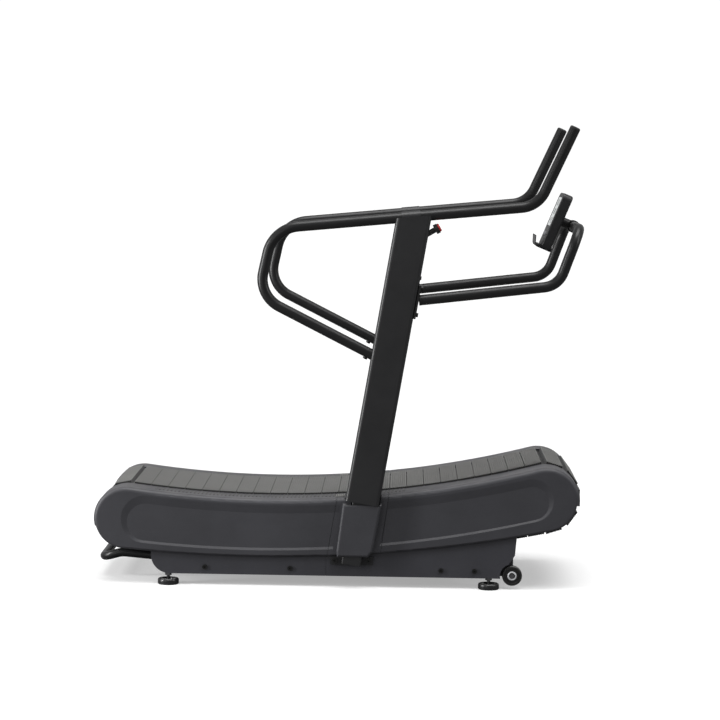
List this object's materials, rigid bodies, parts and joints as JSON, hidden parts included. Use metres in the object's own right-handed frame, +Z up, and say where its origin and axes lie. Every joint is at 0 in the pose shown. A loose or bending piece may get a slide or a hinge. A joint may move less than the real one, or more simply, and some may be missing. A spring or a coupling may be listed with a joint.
{
  "type": "curved manual treadmill",
  "caption": "Motorless treadmill with a hollow slatted running belt, side shells, two leaning uprights, bent hand rails, forward horns and a small console.",
  "frame": {"origin": "on the floor under the middle of the machine's overall box", "axes": "+X towards the front, which the runner faces; +Y to the runner's left; +Z up"},
  "size_m": [1.75, 0.79, 1.6695],
  "materials": {
    "cover_plastic": "fine moulded grain",
    "frame_paint": "satin powder coat",
    "tube_paint": "satin powder coat",
    "upright_paint": "satin powder coat",
    "tread_rubber": "matt, finely ribbed",
    "slat_alloy": "mill finish",
    "belt_rubber": "matt",
    "roller_steel": "ground",
    "zinc_steel": "zinc plated",
    "black_bolt": "black oxide",
    "housing_iron": "painted casting",
    "pulley_alloy": "turned",
    "shaft_steel": "ground",
    "flywheel_iron": "turned",
    "brake_steel": "satin",
    "foot_plastic": "glossy",
    "wheel_plastic": "smooth",
    "cap_plastic": "matt",
    "console_plastic": "fine grain",
    "screen_face": "glossy",
    "button_rubber": "matt",
    "tray_steel": "satin",
    "board_laminate": "solder mask",
    "knob_plastic": "fine grain",
    "knob_red": "smooth"
  },
  "bodies": {
    "base": {"base_beam_left": "frame_paint", "base_beam_right": "frame_paint", "base_bolts": "black_bolt", "bearing_housings": "housing_iron", "cross_members": "frame_paint", "drive_belt_left": "belt_rubber", "drive_belt_right": "belt_rubber", "foot_bolts": "black_bolt", "frame_ties": "frame_paint", "front_cover_left": "cover_plastic", "front_cover_right": "cover_plastic", "front_horn_left": "tube_paint", "front_horn_right": "tube_paint", "front_loop": "tube_paint", "horn_caps": "cap_plastic", "knob_sleeve": "knob_plastic", "lift_handle": "tube_paint", "lock_nuts": "zinc_steel", "loop_flanges": "tube_paint", "mid_cover_left": "cover_plastic", "mid_cover_right": "cover_plastic", "rail_bolts": "black_bolt", "rear_cover_left": "cover_plastic", "rear_cover_right": "cover_plastic", "rear_rail_left": "tube_paint", "rear_rail_right": "tube_paint", "roller_bolts": "zinc_steel", "slats": "slat_alloy", "track_plate_left": "frame_paint", "track_plate_right": "frame_paint", "track_rollers_left": "roller_steel", "track_rollers_right": "roller_steel", "tread_pads": "tread_rubber", "upright_left": "upright_paint", "upright_right": "upright_paint", "wheel_axles": "zinc_steel"},
    "front_drum": {"front_shaft": "shaft_steel", "front_pulleys": "pulley_alloy", "flywheel": "flywheel_iron"},
    "rear_drum": {"rear_shaft": "shaft_steel", "rear_pulleys": "pulley_alloy"},
    "wheel_left": {"transport_wheel_left": "wheel_plastic"},
    "wheel_right": {"transport_wheel_right": "wheel_plastic"},
    "foot_rear_left": {"rear_foot_left": "foot_plastic"},
    "foot_rear_right": {"rear_foot_right": "foot_plastic"},
    "foot_front_left": {"front_foot_left": "foot_plastic"},
    "foot_front_right": {"front_foot_right": "foot_plastic"},
    "console": {"console_front": "console_plastic", "console_back": "console_plastic", "battery_cover": "console_plastic", "console_screen": "screen_face", "console_board": "board_laminate", "console_clamp": "console_plastic", "tablet_tray": "tray_steel"},
    "start_key": {"start_button": "button_rubber"},
    "mode_key": {"mode_button": "button_rubber"},
    "reset_key": {"reset_button": "button_rubber"},
    "knob": {"knob_collar": "knob_plastic"},
    "knob_push": {"knob_cap": "knob_red"},
    "brake": {"magnet_carrier": "brake_steel"}
  },
  "joints": [
    {"name": "front_drum_spin", "type": "hinge", "parent": "base", "child": "front_drum", "pos_m": [0.7515, 0, 0.32], "axis": [0, 1, 0], "continuous": true},
    {"name": "rear_drum_spin", "type": "hinge", "parent": "base", "child": "rear_drum", "pos_m": [-0.7575, 0, 0.233], "axis": [0, 1, 0], "continuous": true},
    {"name": "left_wheel_spin", "type": "hinge", "parent": "base", "child": "wheel_left", "pos_m": [0.636, 0.328, 0.05], "axis": [0, 1, 0], "continuous": true},
    {"name": "right_wheel_spin", "type": "hinge", "parent": "base", "child": "wheel_right", "pos_m": [0.636, -0.328, 0.05], "axis": [0, 1, 0], "continuous": true},
    {"name": "rear_left_foot_adjust", "type": "slide", "parent": "base", "child": "foot_rear_left", "axis": [0, 0, 1], "range_m": [-0.015, 0.01]},
    {"name": "rear_right_foot_adjust", "type": "slide", "parent": "base", "child": "foot_rear_right", "axis": [0, 0, 1], "range_m": [-0.015, 0.01]},
    {"name": "front_left_foot_adjust", "type": "slide", "parent": "base", "child": "foot_front_left", "axis": [0, 0, 1], "range_m": [-0.015, 0.01]},
    {"name": "front_right_foot_adjust", "type": "slide", "parent": "base", "child": "foot_front_right", "axis": [0, 0, 1], "range_m": [-0.015, 0.01]},
    {"name": "console_tilt", "type": "hinge", "parent": "base", "child": "console", "pos_m": [0.85197, 0, 1.302], "axis": [0, 1, 0], "range_deg": [-12, 18]},
    {"name": "start_press", "type": "slide", "parent": "console", "child": "start_key", "axis": [0.9239, 0, -0.3827], "range_m": [0, 0.002], "stiffness_N_per_m": 800},
    {"name": "mode_press", "type": "slide", "parent": "console", "child": "mode_key", "axis": [0.9239, 0, -0.3827], "range_m": [0, 0.002], "stiffness_N_per_m": 800},
    {"name": "reset_press", "type": "slide", "parent": "console", "child": "reset_key", "axis": [0.9239, 0, -0.3827], "range_m": [0, 0.002], "stiffness_N_per_m": 800},
    {"name": "knob_turn", "type": "hinge", "parent": "base", "child": "knob", "pos_m": [0.31497, -0.37, 1.28], "axis": [0.866, 0, 0.5], "range_deg": [0, 300]},
    {"name": "knob_cap_press", "type": "slide", "parent": "knob", "child": "knob_push", "axis": [-0.866, 0, -0.5], "range_m": [0, 0.003], "stiffness_N_per_m": 1500},
    {"name": "brake_swing", "type": "hinge", "parent": "base", "child": "brake", "pos_m": [0.6395, 0, 0.29], "axis": [0, 1, 0], "range_deg": [0, 3]}
  ],
  "couplings": [
    {"joint": "rear_drum_spin", "follows": "front_drum_spin", "ratio": 1.0647},
    {"joint": "brake_swing", "follows": "knob_turn", "ratio": 0.01}
  ]
}
